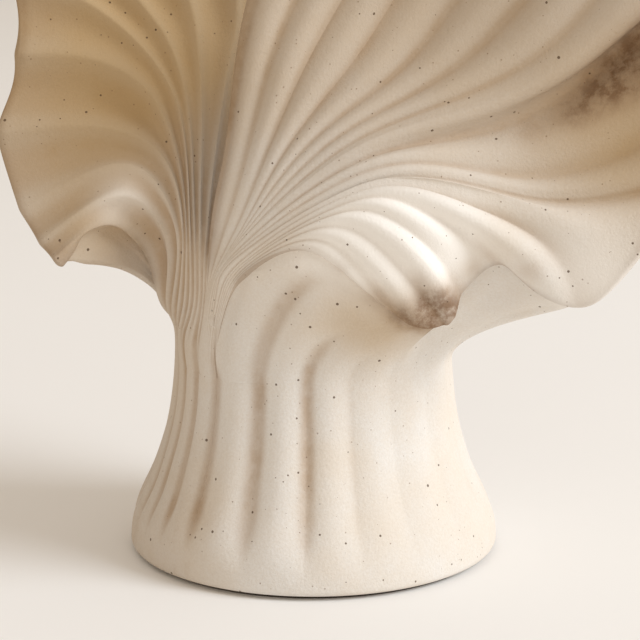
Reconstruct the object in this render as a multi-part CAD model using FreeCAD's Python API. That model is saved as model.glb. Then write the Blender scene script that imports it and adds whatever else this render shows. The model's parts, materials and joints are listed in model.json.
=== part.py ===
import FreeCAD, Part
import math
import os

# Driving sizes in millimetres; every other length follows from these
height = 240.0  # table to the top of the fan
fan_w = 206.0  # fan, tip to tip
fan_d = 78.0  # drooping front rim to the outside of the back leaf
waist_z = 57.0  # height of the narrowest place, where the leaves start
waist_r = 40.0
foot_r = 55.0
wall_t = 4.5  # clay wall of the leaves and of the stem at its waist
foot_wall_t = 8.0  # clay wall of the stem at the table
floor_t = 6.0
pad_t = 1.2
pad_inset = 4.0  # how far the pad stays inside the foot's edge
joint_gap = 0.3  # between clay pieces along their sides
nose_t = 2.0  # how far the pull of a rounded rim stands out
pad_r = foot_r - pad_inset

# Flute heights as shares of a flute's width, and the widest flute counted, as a share of the height
stem_flute_share = 0.13
front_flute_share = 0.23
left_flute_share = 0.22
flute_limit_share = 0.1
crease_round_share = 0.025
ridge_round_share = 0.012
flute_limit_angle = 22.0

# The tables below hold hundredths: the fan's width is 86 of them, its depth 32.5 and its height
# from the waist to the top is 76.25, with the waist at 23.75
width_share = 86.0
depth_share = 32.5
waist_share = 23.75
root_rise_share = 4.0
root_lean_share = 0.012

# Radius of the stem over its height, foot to waist, as shares of the flare
flare_shares = (0.95, 0.86, 0.56, 0.33, 0.15, 0.04, 0.0)

# Ring angles of the creases in the stem, and root arcs of the leaves, in degrees from the front
crease_angles = (-76, -66, -55.5, -43, -22, -2, 15, 32, 52, 72, 92, 112, 132, 152, 172, 192,
                 212, 232, 252, 270, 284)
# Depth of each of these creases: the ones under the drooping rim are faint
crease_depth_shares = (1.1, 1.3, 1.35, 1.2, 1.3, 1.2, 0.6, 0.35, 0.35, 0.5, 0.7, 0.8, 0.8, 0.8, 0.8, 0.8,
                       0.8, 0.8, 0.9, 1.0, 1.1)
# Past this angle the creases of the outer wall run out by this part, between these places up it
fade_angle = -22.0
fade_in_angle = 24.0
fade_out_share = 0.85
fade_rise_shares = (0.25, 0.7)
front_root_angles = (-50.0, -41.5)
left_root_angles = (-88.0, -50.0)
# Angle by which the creases of the outer wall lean over before they reach the front rim, and the
# angles past the first and before the last leaning rib over which the lean grows and fades
lean_angle = 36.0
lean_in_angle = 58.0
lean_out_angle = 62.0
lean_end_angle = 75.0

# First places above the ring: x and y as shares of the waist radius, z in hundredths
front_low_shares = ((-0.735, -0.70, 34.2), (-0.665, -0.80, 34.2), (-0.585, -0.86, 33.4))
left_low_shares = ((-1.095, -0.12, 30.6), (-0.95, -0.44, 31.9),
                   (-0.83, -0.61, 33), (-0.735, -0.70, 34.2))

# Places on the leaves in hundredths: x, y, z for five stations, one row per rib
front_shares = (
    ((-11.3, -12.5, 43.4), (-9.9, -12.9, 50.6), (-8.3, -13.8, 61), (-5.6, -15, 71), (-1.5, -17, 79)),
    ((-8.6, -14, 42.2), (-4.8, -15, 51.7), (0, -14.5, 62), (6, -14.5, 72), (12.5, -18, 83)),
    ((-7.9, -14.7, 41.6), (0, -15.8, 52.1), (10, -13.8, 60), (17.5, -13.8, 70), (25.5, -18, 82)),
    ((-7.6, -15.2, 41.1), (3.6, -16.7, 51), (16, -15.6, 56), (28, -16.2, 62.5), (37, -19.5, 74.5)),
    ((-7.4, -15.7, 40.7), (5.9, -17.4, 50.3), (21.2, -14.4, 53.5), (34, -13.5, 61.5), (42.5, -17.5, 69)),
    ((-7.3, -16.2, 40.4), (8, -18.3, 49.6), (23.1, -16.8, 48.4), (36.2, -18, 52.2), (46.4, -21, 59.5)),
    ((-7.2, -16.6, 40.1), (8.8, -19.1, 48.2), (24, -18.3, 46.1), (36, -19.6, 47), (45.4, -21.5, 50.5)),
    ((-7.2, -16.9, 39.8), (6.9, -19.5, 47.4), (20.7, -19.4, 45.7), (31, -20.4, 43), (37.2, -21.7, 42.1)),
    ((-7.1, -17.2, 39.5), (4.1, -20, 46.7), (15.1, -20.6, 46.7), (25.4, -21.2, 41.4), (29.5, -20.8, 34)),
    ((-7.1, -17.4, 39.1), (3, -20.7, 45.6), (10.1, -22, 46), (16.4, -21.3, 42.3), (20.9, -18.3, 38.2)),
    ((-7.1, -17.6, 38.7), (1, -20.9, 43.9), (7.4, -22.5, 44), (12.9, -22.5, 39.5), (16, -19.8, 33.6)),
    ((-7.2, -17.8, 38.2), (-0.3, -21, 42.3), (5.8, -22.5, 41), (11.2, -22.3, 36.6), (14.7, -20.5, 32)),
    ((-7.3, -17.9, 37.8), (-1.4, -20.8, 40.6), (4.5, -21.5, 37.6), (9.5, -21.5, 33.2), (12.8, -20.5, 31.6)),
)
left_shares = (
    ((-19.3, -3.3, 35.5), (-21, -5.8, 39.2), (-23.4, -8.3, 41.4), (-26.5, -10, 40.6), (-29.9, -11, 37.8)),
    ((-17, -6.2, 37.4), (-18.7, -8.2, 42.7), (-22.1, -9.5, 44.9), (-26.5, -9.3, 43.2), (-31.8, -8.6, 39.2)),
    ((-15.8, -8.2, 39.1), (-17.7, -8.7, 45.3), (-21.2, -8, 48), (-26.5, -6.8, 46.8), (-34.2, -6, 42.6)),
    ((-15.2, -8.7, 40), (-16.5, -7.6, 47.2), (-20.4, -5.8, 51), (-27.3, -4.7, 52.3), (-36.7, -4.2, 51.5)),
    ((-14.8, -8.7, 40.8), (-15.9, -6.7, 49.1), (-19.5, -4.2, 56.4), (-26.4, -2.6, 60), (-34.4, -2.5, 60.5)),
    ((-14.4, -8.5, 41.6), (-15.2, -5.8, 52), (-18.4, -3, 59.2), (-25.4, -1, 65.6), (-34.6, -0.2, 70)),
    ((-13.9, -8, 42.2), (-14.5, -5.2, 53), (-16.6, -2.4, 61), (-20.7, -0.5, 66.8), (-29.5, 1, 78)),
    ((-13.2, -7.6, 42.6), (-13.1, -4.6, 53.6), (-13.6, -2, 62), (-15.3, 0, 69), (-21, 1.2, 87.5)),
    ((-12.2, -7.2, 42.6), (-11, -4.2, 52.6), (-9.6, -1.6, 60.5), (-9, 0.4, 69), (-12, 1.4, 92)),
    ((-10.9, -6.8, 42.4), (-8.6, -3.6, 51), (-6.2, -1.2, 59), (-4, 0.6, 68), (-3.5, 1.4, 91.5)),
)

# Creases counted along the ribs of the front leaf, and ridges along those of the left leaf
front_count_shares = (0, 2, 4, 6.3, 7, 8, 9, 9.5, 10, 11, 12.35, 13.5, 15)
left_count_shares = (0, 1, 2, 3, 4, 5, 6, 7, 8, 9.5)
# Past this rib of the front leaf the creases run out on its lower rim, and this part of them goes
strip_share = 10.0 / 12.0
strip_loss_share = 0.5
# The flutes flatten by this part on the way to a lower rim, between these places across the leaf
calm_share = 0.55
# The top rim of a leaf starts to stand free of the back leaf at the first of these places across it
front_free_shares = (0.5, 0.41)
left_free_shares = (0.39, 0.55)
front_calm_shares = (0.5, 0.68)
left_calm_shares = (0.42, 0.25)

# Places up a leaf: its own flutes have taken over from the stem's here, its normal is its own here,
# and the left leaf keeps beside the front leaf up to the first of two places and lets go by the next
root_blend_share = 0.3
normal_blend_share = 0.25
keep_shares = (0.26, 0.42)
keep_across_share = 0.6
# Reach of an edge into a leaf, and of the back leaf's side edges into its grid
edge_reach_share = 0.06
side_reach_share = 0.055
# The stem's creases reach full depth here above the table, and swell a little over its middle
stem_rise_share = 0.35
stem_swell_share = 0.8
# Steps for slopes and for the width of a flute, the power of the lean, and the most that flutes widen
slope_step_share = 0.004
count_step_share = 0.01
lean_power = 2.4
widen_limit = 2.4

# Back leaf, one value per rib: ring angle, rise above the ring, place on the edge of the front
# leaf or of the left leaf (u, v), and the depth of its margin under that edge in wall thicknesses
back_angles = (-41.5, -18, 2, 18, 31, 45, 60, 75, 92, 110, 130, 155, 180, 205, 228, 245, 254, 262, 267,
               270, 272)
rise_shares = (5, 5, 4, 3, 2.5, 3.5, 3, 3, 4, 5, 8, 15, 21, 23, 20, 14, 11, 9, 8.5, 8, 7)
front_edge_shares = ((1, 0.45), (1, 0.571), (1, 0.714), (1, 0.857), (1, 1), (0.75, 1), (0.71, 1),
                     (0.667, 1), (0.583, 1), (0.5, 1), (0.417, 1))
left_edge_shares = ((0.556, 1), (0.39, 1), (0.18, 1), (0, 1), (0, 0.857), (0, 0.714))
cover_shares = (0.1, 0.12, 0.25, 0.4, 0.45, 0.45, 0.45, 0.45, 0.5, 0.8, 1.2, 1.2, 1.2, 1.2, 1.2, 1.2,
                0.9, 0.55, 0.45, 0.3, 0.2)
# Free top edge between the two leaves, and the pull of every rib on its way to the edge
top_shares = ((40, 4, 79), (20, 10, 93), (0, 10, 99), (-22, 8.5, 93))
pull_shares = (
    (-1.5, -0.5, -5), (-1, -0.3, -6), (-1.3, -0.2, -5), (-2, 0.4, -3.2), (-3, 2, -2.5), (-4, 3, -4),
    (-6, 5, -2.2), (-7.5, 7, -3), (-9, 9, -6.5), (-11, 12, -8), (-12, 14, -10), (-11, 4, -19), (-6, 3.5, -25),
    (0, 3.5, -27),
    (4, 4, -25), (8, 6, -16), (9, 6, -8), (9, 6, -2.5), (8, 4.5, -0.8), (6, 3, -1.2), (3.5, 1.5, -2.2),
)


def add(a, b, k=1.0):
    return tuple(p + q * k for p, q in zip(a, b))


def scaled(a, k):
    return tuple(p * k for p in a)


def mix(a, b, s):
    return tuple(p + (q - p) * s for p, q in zip(a, b))


def dot(a, b):
    return sum(p * q for p, q in zip(a, b))


def cross(a, b):
    return (a[1] * b[2] - a[2] * b[1], a[2] * b[0] - a[0] * b[2], a[0] * b[1] - a[1] * b[0])


def length(a):
    return math.sqrt(dot(a, a))


def unit(a):
    size = length(a)
    return scaled(a, 1.0 / size) if size else a


def ease(s):
    s = min(1.0, max(0.0, s))
    return s * s * (3.0 - 2.0 * s)


def along(row, s):
    """Value or place in a row at s from 0 to 1, straight between its entries."""
    s = min(1.0, max(0.0, s)) * (len(row) - 1)
    k = min(int(s), len(row) - 2)
    if isinstance(row[0], tuple):
        return mix(row[k], row[k + 1], s - k)
    return row[k] + (row[k + 1] - row[k]) * (s - k)


def span(share):
    """Length of a move given in hundredths."""
    per_z = (height - waist_z) / (100.0 - waist_share)
    return (share[0] * fan_w / width_share, share[1] * fan_d / depth_share, share[2] * per_z)


def place(share):
    """Place given in hundredths."""
    x, y, z = span((share[0], share[1], share[2] - waist_share))
    return (x, y, waist_z + z)


def ring(angle, radius, z):
    a = math.radians(angle)
    return (radius * math.sin(a), -radius * math.cos(a), z)


class Curve:
    """Natural cubic curve through evenly counted points."""

    def __init__(self, points):
        self.points = [p if isinstance(p, tuple) else (p,) for p in points]
        n = len(self.points)
        zero = scaled(self.points[0], 0.0)
        self.bend = [zero] * n
        share = [0.0] * n
        part = [zero] * n
        for i in range(1, n - 1):
            turn = add(add(self.points[i - 1], self.points[i], -2.0), self.points[i + 1])
            share[i] = 1.0 / (4.0 - share[i - 1])
            part[i] = scaled(add(scaled(turn, 6.0), part[i - 1], -1.0), share[i])
        for i in range(n - 2, 0, -1):
            self.bend[i] = add(part[i], self.bend[i + 1], -share[i])

    def at(self, s):
        last = len(self.points) - 1
        s = min(1.0, max(0.0, s)) * last
        k = min(int(s), last - 1)
        f = s - k
        g = 1.0 - f
        p = mix(self.points[k], self.points[k + 1], f)
        p = add(p, self.bend[k], (g ** 3 - g) / 6.0)
        return add(p, self.bend[k + 1], (f ** 3 - f) / 6.0)


flare = Curve(flare_shares)


def stem_part(z):
    return (z - pad_t) / (waist_z - pad_t)


def stem_radius(z):
    return waist_r + (foot_r - waist_r) * flare.at(stem_part(z))[0]


def bore_radius(z):
    return stem_radius(z) - wall_t - (foot_wall_t - wall_t) * (1.0 - stem_part(z)) ** 2


def flute(count, round_share=crease_round_share):
    """Rounded flute between whole counts: a half on its back, minus a half in the crease."""
    return math.sqrt(math.sin(math.pi * count) ** 2 + round_share) - 0.5


def stem_flute(angle, lean=0.0):
    """Height of the stem's flutes at a ring angle."""
    first = crease_angles[0]
    angle = first + (angle - lean - first) % 360.0
    k = 0
    while angle >= crease_angles[k + 1]:
        k += 1
    wide = crease_angles[k + 1] - crease_angles[k]
    count = (angle - crease_angles[k]) / wide
    depth = crease_depth_shares[k] * (1.0 - count) + crease_depth_shares[k + 1] * count
    return stem_flute_share * depth * math.radians(min(wide, flute_limit_angle)) * waist_r * flute(count)


class Leaf:
    """Pleated sheet that spreads from an arc of the waist ring: u runs across its ribs, v up them."""

    def __init__(self, arc, low, table, counts, flutes, calm, free, strip=None):
        self.arc = arc
        self.low = Curve([(x * waist_r, y * waist_r, place((0, 0, z))[2]) for x, y, z in low])
        self.rows = [Curve([place(rib[i]) for rib in table]) for i in range(len(table[0]))]
        self.counts = counts
        self.flutes = flutes
        self.round = crease_round_share if flutes > 0 else ridge_round_share
        self.calm = calm
        self.free = free
        self.strip = strip
        self.mate = None
        self.ribs = {}

    def angle(self, u):
        return self.arc[0] + (self.arc[1] - self.arc[0]) * u

    def rib(self, u):
        key = round(u, 6)
        if key not in self.ribs:
            root = ring(self.angle(u), waist_r, waist_z)
            lean = add(root, ring(self.angle(u), root_lean_share * waist_r, 0.0))
            points = [root, add(lean, span((0.0, 0.0, root_rise_share))), self.low.at(u)]
            self.ribs[key] = Curve(points + [row.at(u) for row in self.rows])
        return self.ribs[key]

    def base(self, u, v):
        """Sheet without its flutes. Near the root its last rib keeps beside the mate's first."""
        p = self.rib(u).at(v)
        if self.mate and u > keep_across_share and v < keep_shares[1]:
            own = self.rib(1.0).at(v)
            away = unit(add(self.rib(0.97).at(v), own, -1.0))
            side = add(self.mate.rib(0.0).at(v), away, joint_gap)
            keep = 1.0 - ease((v - keep_shares[0]) / (keep_shares[1] - keep_shares[0]))
            keep *= ease((u - keep_across_share) / (1.0 - keep_across_share))
            p = add(p, add(side, own, -1.0), keep)
        return p

    def slopes(self, u, v):
        step = slope_step_share
        ua, ub = max(0.0, u - step), min(1.0, u + step)
        va, vb = max(0.0, v - step), min(1.0, v + step)
        du = scaled(add(self.base(ub, v), self.base(ua, v), -1.0), 1.0 / (ub - ua))
        dv = scaled(add(self.base(u, vb), self.base(u, va), -1.0), 1.0 / (vb - va))
        return du, dv

    def normal(self, u, v):
        du, dv = self.slopes(u, v)
        p = self.base(u, v)
        out = unit((p[0], p[1], 0.0))
        return unit(mix(out, unit(cross(du, dv)), ease(v / normal_blend_share)))

    def count(self, u, v):
        c = along(self.counts, u)
        if self.strip and u > self.strip[0]:
            first = along(self.counts, self.strip[0])
            c = first + (c - first) * (1.0 - self.strip[1] * ease((v - 0.5) / 0.5))
        return c

    def front(self, u, v):
        """Visible face with its flutes."""
        step = count_step_share
        ua, ub = max(0.0, u - step), min(1.0, u + step)
        per = max((self.count(ub, v) - self.count(ua, v)) / (ub - ua), 0.1)
        wide = min(length(self.slopes(u, v)[0]) / per, flute_limit_share * height)
        rise = self.flutes * wide * flute(self.count(u, v), self.round)
        lower = ease((u - self.calm[0]) / (self.calm[1] - self.calm[0]))
        rise *= 1.0 - calm_share * lower * ease((v - 0.78) / 0.22)
        root = stem_flute(self.angle(u))
        rise = root + (rise - root) * ease(v / root_blend_share)
        return add(self.base(u, v), self.normal(u, v), rise)

    def back(self, u, v, gap=0.0):
        return add(self.base(u, v), self.normal(u, v), -wall_t - gap)

    def free_top(self, u):
        """How far the top rim stands free of the back leaf, from 0 to 1."""
        return ease((u - self.free[0]) / (self.free[1] - self.free[0]))

    def nearness(self, u, v):
        """How near the side and the top edge are, from 0 to 1 each, and the side's sign."""
        reach = edge_reach_share
        return (max(0.0, 1.0 - min(u, 1.0 - u) / reach), max(0.0, 1.0 - (1.0 - v) / reach),
                1.0 if u > 0.5 else -1.0)

    def out(self, u, v):
        """Direction along the sheet and off its nearest edge."""
        du, dv = self.slopes(u, v)
        n = self.normal(u, v)
        side, top, sign = self.nearness(u, v)
        across = unit(add(du, n, -dot(du, n)))
        up = unit(add(dv, n, -dot(dv, n)))
        return unit(add(scaled(across, sign * side), up, top))

    def edge(self, u, v, q):
        """Place q along the section of the edge, from the visible corner round to the back."""
        out = self.out(u, v)
        if q < wall_t:
            return add(add(self.base(u, v), self.normal(u, v), -q), out, joint_gap)
        du, dv = self.slopes(u, v)
        side, top, sign = self.nearness(u, v)
        move = (q - wall_t) / math.hypot(side, top)
        inner = self.back(u - sign * side * move / length(du), v - top * move / length(dv), joint_gap)
        beside = add(self.back(u, v), out, joint_gap)
        return mix(beside, inner, ease((q - wall_t) / wall_t))


front_leaf = Leaf(front_root_angles, front_low_shares, front_shares, front_count_shares,
                  front_flute_share, front_calm_shares, front_free_shares, (strip_share, strip_loss_share))
left_leaf = Leaf(left_root_angles, left_low_shares, left_shares, left_count_shares,
                 -left_flute_share, left_calm_shares, left_free_shares)
left_leaf.mate = front_leaf

back_angle = Curve(back_angles)
back_rise = Curve(rise_shares)
back_pull = Curve([span(p) for p in pull_shares])
back_last = len(back_angles) - 1
right_end = len(front_edge_shares) - 1
left_start = back_last - len(left_edge_shares) + 1


def under_edge(leaf, spot, s, deep):
    """Place on the back leaf's margin, deep below its visible face, under an edge of a leaf."""
    return leaf.edge(spot[0], spot[1], along(cover_shares, s / back_last) * wall_t + deep)


def back_margin(s, deep):
    """Upper edge of the back leaf at rib s: under the two leaves at the sides, free over the top."""
    if s <= right_end:
        return under_edge(front_leaf, along(front_edge_shares, s / right_end), s, deep)
    if s >= left_start:
        part = (s - left_start) / (back_last - left_start)
        return under_edge(left_leaf, along(left_edge_shares, part), s, deep)
    ends = [(front_leaf, front_edge_shares[-1], right_end), (left_leaf, left_edge_shares[0], left_start)]
    first, last = [under_edge(leaf, spot, rib, 0.0) for leaf, spot, rib in ends]
    part = (s - right_end) / (left_start - right_end)
    inner = ring(back_angle.at(s / back_last)[0], -wall_t, 0.0)
    for i, spot in enumerate((first, last)):
        leaf, edge_share, rib = ends[i]
        turn = add(under_edge(leaf, edge_share, rib, wall_t), spot, -1.0)
        inner = mix(turn, inner, ease(abs(part - i) / 0.25))
    p = Curve([first] + [place(t) for t in top_shares] + [last]).at(part)
    return add(p, inner, deep / wall_t)


def back_rib(s, deep):
    """Four pull points of a rib of the back leaf."""
    u = s / back_last
    root = ring(back_angle.at(u)[0], waist_r - deep, waist_z)
    end = back_margin(s, deep)
    return root, add(root, span((0.0, 0.0, back_rise.at(u)[0]))), add(end, back_pull.at(u)), end


def pulled(points, v):
    w = 1.0 - v
    p = add(scaled(points[0], w ** 3), points[1], 3.0 * w * w * v)
    return add(add(p, points[2], 3.0 * w * v * v), points[3], v ** 3)


def back_side(leaf, u, v, deep):
    """Side edge of the back leaf, from beside a leaf at the root to under its rim."""
    last = front_edge_shares[0][1] if leaf is front_leaf else left_edge_shares[-1][1]
    return leaf.edge(u, v * last, deep + cover_shares[0] * wall_t * ease(v / 0.6))


def back_grid(nu, nv, deep):
    """Grid of the visible face (deep 0) or the inner face of the back leaf."""
    plain = []
    for i in range(nu):
        points = back_rib(back_last * i / (nu - 1), deep)
        plain.append([pulled(points, j / (nv - 1)) for j in range(nv)])
    reach = side_reach_share
    ends = []
    for leaf, u, i in ((front_leaf, 1.0, 0), (left_leaf, 0.0, nu - 1)):
        sides = [back_side(leaf, u, j / (nv - 1), deep) for j in range(nv)]
        ends.append([add(side, p, -1.0) for side, p in zip(sides, plain[i])])
    rows = []
    for i in range(nu):
        u = i / (nu - 1)
        near = (1.0 - ease(u / reach), 1.0 - ease((1.0 - u) / reach))
        rows.append([add(add(plain[i][j], ends[0][j], near[0]), ends[1][j], near[1]) for j in range(nv)])
    return rows if deep else back_flutes(rows)


def run_out(angle, v):
    """Part of the flutes that is gone at a place of the outer wall, under the drooping rim."""
    start, end = fade_rise_shares
    near = ease((angle - fade_angle) / fade_in_angle) * ease((lean_end_angle - angle) / fade_in_angle)
    return fade_out_share * near * ease((v - start) / (end - start))


def back_flutes(rows):
    """Adds the flutes, which lean over towards the front rim and fade where a leaf covers them."""
    nu, nv = len(rows), len(rows[0])
    done = []
    for i in range(nu):
        u = i / (nu - 1)
        s = u * back_last
        angle = back_angle.at(u)[0]
        ia, ib = max(0, i - 1), min(nu - 1, i + 1)
        turn = back_angle.at(ib / (nu - 1))[0] - back_angle.at(ia / (nu - 1))[0]
        arc = math.radians(max(turn, 0.5)) * waist_r
        off_side = ease(u / 0.02) * ease((1.0 - u) / 0.02)
        joined = max(1.0 - ease(s - right_end), 1.0 - ease(left_start - s))
        row = []
        for j in range(nv):
            v = j / (nv - 1)
            du = add(rows[ib][j], rows[ia][j], -1.0)
            dv = add(rows[i][min(nv - 1, j + 1)], rows[i][max(0, j - 1)], -1.0)
            n = unit(mix(ring(angle, 1.0, 0.0), unit(cross(du, dv)), ease(v / normal_blend_share)))
            lean = lean_angle * v ** lean_power * ease((angle - back_angles[0]) / lean_in_angle)
            lean *= ease((lean_end_angle - angle) / lean_out_angle)
            wider = 1.0 + (min(length(du) / arc, widen_limit) - 1.0) * ease(v / root_blend_share)
            wider *= 1.0 - run_out(angle, v)
            rise = stem_flute(angle, lean) * wider * (1.0 - joined * ease((v - 0.86) / 0.12))
            row.append(add(rows[i][j], n, rise * (1.0 + (off_side - 1.0) * ease(v / root_blend_share))))
        done.append(row)
    return done


def leaf_grids(leaf, nu, nv):
    """Grids of the visible face and of the face behind it."""
    spots = [[(i / (nu - 1), j / (nv - 1)) for j in range(nv)] for i in range(nu)]
    return [[leaf.front(*s) for s in row] for row in spots], [[leaf.back(*s) for s in row] for row in spots]


def stem_grid(nu, nv, bore):
    """Grid of the stem's outside or of its bore, closed round the axis."""
    rows = []
    for i in range(nu):
        angle = back_angles[0] + 360.0 * i / (nu - 1)
        row = []
        for j in range(nv):
            v = j / (nv - 1)
            z = pad_t + (waist_z - pad_t) * v
            if bore:
                row.append(ring(angle, bore_radius(z), z))
                continue
            rise = stem_flute(angle) * ease(v / stem_rise_share) * (1.0 + stem_swell_share * v * (1.0 - v))
            row.append(ring(angle, stem_radius(z) + rise, z))
        rows.append(row)
    return rows


def clamped(n):
    """Knots and their counts of a clamped cubic line over n poles."""
    inner = n - 4
    return [float(k) for k in range(inner + 2)], [4] + [1] * inner + [4]


def net(rows):
    """Clamped cubic face over a grid of places."""
    ku, mu = clamped(len(rows))
    kv, mv = clamped(len(rows[0]))
    poles = [[FreeCAD.Vector(*p) for p in row] for row in rows]
    surface = Part.BSplineSurface()
    surface.buildFromPolesMultsKnots(poles, mu, mv, ku, kv, False, False, 3, 3)
    return surface.toShape()


def rim(front_line, back_line, pulls):
    """Face that closes an edge between two lines, pulled out to a rounded nose."""
    lines = zip(front_line, back_line, pulls)
    return net([[a, add(mix(a, b, 0.1), pull), add(mix(a, b, 0.9), pull), b] for a, b, pull in lines])


def closed_solid(faces):
    shell = Part.makeShell(faces)
    shell.sewShape(1.0e-4 * wall_t)
    solid = Part.makeSolid(shell if shell.ShapeType == "Shell" else shell.Shells[0])
    if solid.Volume < 0:
        solid.reverse()
    return solid


def sheet_solid(front, back, pull_first, pull_last, pull_top):
    """Solid between a visible face and the face behind it, with its root edge flat on the ring."""
    none = [(0.0, 0.0, 0.0)] * len(front)
    faces = [net(front), net(back)]
    faces.append(rim([row[0] for row in front], [row[0] for row in back], none))
    faces.append(rim([row[-1] for row in front], [row[-1] for row in back], pull_top))
    faces.append(rim(front[0], back[0], pull_first))
    faces.append(rim(front[-1], back[-1], pull_last))
    return closed_solid(faces)


def leaf_solid(leaf, nu, nv, joined):
    """Leaf whose side edge at u = joined is luted to the back leaf, and whose other edges are round."""
    front, back = leaf_grids(leaf, nu, nv)

    def side_pull(u, v):
        free = 0.0 if u == joined else ease((v - 0.32) / 0.12)
        return scaled(leaf.out(u, v), nose_t * free)

    first, last = [[side_pull(u, j / (nv - 1)) for j in range(nv)] for u in (0.0, 1.0)]
    top = [scaled(leaf.out(u, 1.0), nose_t * leaf.free_top(u)) for u in [i / (nu - 1) for i in range(nu)]]
    return sheet_solid(front, back, first, last, top)


def back_solid(nu, nv):
    front = back_grid(nu, nv, 0.0)
    back = back_grid(nu, nv, wall_t)
    none = [(0.0, 0.0, 0.0)] * nv
    top = []
    for i, row in enumerate(front):
        s = back_last * i / (nu - 1)
        free = ease(s - right_end) * ease(left_start - s)
        top.append(scaled(unit(add(row[-1], row[-2], -1.0)), nose_t * free))
    return sheet_solid(front, back, none, none, top)


def stem_solid(nu, nv):
    outer = stem_grid(nu, nv, False)
    bore = stem_grid(nu, nv, True)
    outer[-1] = outer[0]
    bore[-1] = bore[0]
    none = [(0.0, 0.0, 0.0)] * nu
    faces = [net(outer), net(bore)]
    faces.append(rim([row[0] for row in outer], [row[0] for row in bore], none))
    faces.append(rim([row[-1] for row in outer], [row[-1] for row in bore], none))
    return closed_solid(faces)


def save(shape, name):
    shape.exportStep("parts/" + name + ".step")
    box = shape.BoundBox
    sides = [round(side, 1) for side in (box.XMin, box.XMax, box.YMin, box.YMax, box.ZMin, box.ZMax)]
    print(name, "valid" if shape.isValid() else "not valid", round(shape.Volume), sides)


os.makedirs("parts", exist_ok=True)
save(Part.makeCylinder(pad_r, pad_t), "felt_pad")
slab_r = bore_radius(pad_t + floor_t) - joint_gap
save(Part.makeCylinder(slab_r, floor_t, FreeCAD.Vector(0, 0, pad_t)), "floor_slab")
save(stem_solid(145, 16), "stem")
save(leaf_solid(front_leaf, 85, 30, 1.0), "front_leaf")
save(leaf_solid(left_leaf, 61, 28, 0.0), "left_leaf")
save(back_solid(161, 22), "back_leaf")
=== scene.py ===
import json
import math

import bmesh
import bpy
from bpy.props import FloatProperty, FloatVectorProperty, IntProperty, PointerProperty
from bpy.types import Operator, Panel, PropertyGroup
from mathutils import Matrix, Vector, noise

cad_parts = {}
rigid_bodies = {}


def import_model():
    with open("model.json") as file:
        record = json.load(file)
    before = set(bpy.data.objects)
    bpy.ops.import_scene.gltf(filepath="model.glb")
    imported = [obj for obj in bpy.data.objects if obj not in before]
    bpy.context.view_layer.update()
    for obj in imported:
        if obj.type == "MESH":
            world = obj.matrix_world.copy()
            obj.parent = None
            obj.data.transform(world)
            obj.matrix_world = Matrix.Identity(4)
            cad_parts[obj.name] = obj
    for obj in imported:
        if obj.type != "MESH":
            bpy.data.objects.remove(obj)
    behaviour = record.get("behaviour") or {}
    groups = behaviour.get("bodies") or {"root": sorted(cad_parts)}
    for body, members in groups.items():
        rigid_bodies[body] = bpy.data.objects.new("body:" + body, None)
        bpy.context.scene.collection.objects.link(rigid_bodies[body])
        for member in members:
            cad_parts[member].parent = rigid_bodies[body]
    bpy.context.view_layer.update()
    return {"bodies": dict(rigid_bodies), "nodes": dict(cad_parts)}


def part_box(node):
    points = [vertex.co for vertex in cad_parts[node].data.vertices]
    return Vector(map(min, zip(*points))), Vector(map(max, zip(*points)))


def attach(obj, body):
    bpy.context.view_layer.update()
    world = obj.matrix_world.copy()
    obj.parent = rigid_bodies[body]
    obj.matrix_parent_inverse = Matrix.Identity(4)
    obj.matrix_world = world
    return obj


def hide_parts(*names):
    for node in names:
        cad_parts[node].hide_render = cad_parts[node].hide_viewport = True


bl_info = {
    "name": "Fan Vase",
    "version": (1, 0, 0),
    "blender": (4, 5, 0),
    "location": "View3D > Sidebar > Fan Vase",
    "description": "Builds a pleated stoneware fan vase over its packed frame",
    "category": "Add Mesh",
}

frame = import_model()
body_name = next(iter(frame["bodies"]))
stem_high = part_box("stem")[1]
pad_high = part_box("felt_pad")[1]

# How far pieces lap into each other where the real clay is luted together
lap = 0.0003
clay_name = "speckled_stoneware"
# Rounded rims: steps of a quarter turn, and how far a rim stands out as a share of half its wall
nose_steps = 5
nose_share = 0.75
# Reach of the brown tint from a rim, and how finely the hand's unevenness runs, per metre
rim_tint_reach = 0.0032
hand_grain = 55.0
# How far a rim that is luted to the back leaf still stands out, as a share of a free one
joined_bead_share = 0.6
# Marks on each leaf: iron stains of the firing, which also stand for painted shade in the deep fold
# and round the droop's tip, then painted highlights, then painted shade: place across it and up it,
# reach as a share of the height, strength, and for some a move from there in hundredths
stain_and_shade_shares = {
    "front": ((0.365, 0.74, 0.024, 0.4), (0.365, 0.79, 0.03, 0.7), (0.36, 0.84, 0.036, 1),
              (0.355, 0.89, 0.04, 1), (0.35, 0.95, 0.042, 0.9), (0.93, 1, 0.04, 0.6),
              (0.97, 0.96, 0.03, 0.45), (0.885, 0.92, 0.022, 0.5), (0.885, 0.85, 0.016, 0.3),
              (1, 0.86, 0.022, 0.5), (1, 0.78, 0.018, 0.35), (1, 0.68, 0.013, 0.25),
              (0.84, 1, 0.022, 0.45), (0.78, 0.97, 0.016, 0.3), (0.7, 0.93, 0.02, 0.3)),
    "left": ((0, 0.97, 0.016, 0.4), (0.02, 0.8, 0.014, 0.2)),
}
# Painted highlights: paler clay where light would fall on the backs of the droop and on the left leaf
painted_highlight_shares = {
    "front": ((0.84, 0.78, 0.065, 1), (0.92, 0.68, 0.055, 1), (0.76, 0.85, 0.05, 0.9),
              (0.64, 0.95, 0.06, 0.9)),
    "left": ((0.08, 0.72, 0.035, 0.6),),
}
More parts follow.
